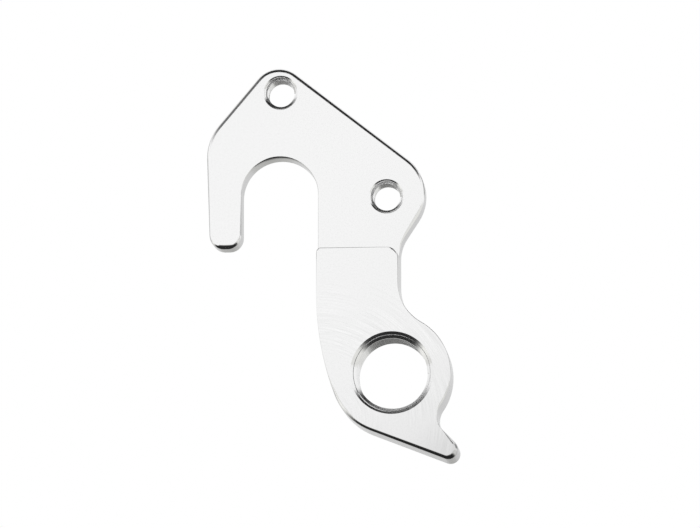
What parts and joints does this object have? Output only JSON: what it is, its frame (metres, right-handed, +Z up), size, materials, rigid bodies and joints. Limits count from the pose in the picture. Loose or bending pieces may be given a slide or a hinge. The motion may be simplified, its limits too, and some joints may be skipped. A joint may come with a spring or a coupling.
{
  "type": "bicycle derailleur hanger",
  "caption": "Flat alloy plate with an open axle slot, screwed to a bicycle frame's rear end to carry the rear derailleur on a threaded boss.",
  "frame": {"origin": "the wheel's axle centre in the plane of the upper plate's front face, which seats on the frame", "axes": "-Y out of the seating face towards the wheel, +Z up along the axle slot, +X to the side of the derailleur's bolt"},
  "size_m": [0.0326, 0.007, 0.0515],
  "materials": {
    "alloy": "bare machined aluminium, tumbled edges, fine tool marks"
  },
  "bodies": {
    "root": {"hanger": "alloy"}
  },
  "joints": []
}
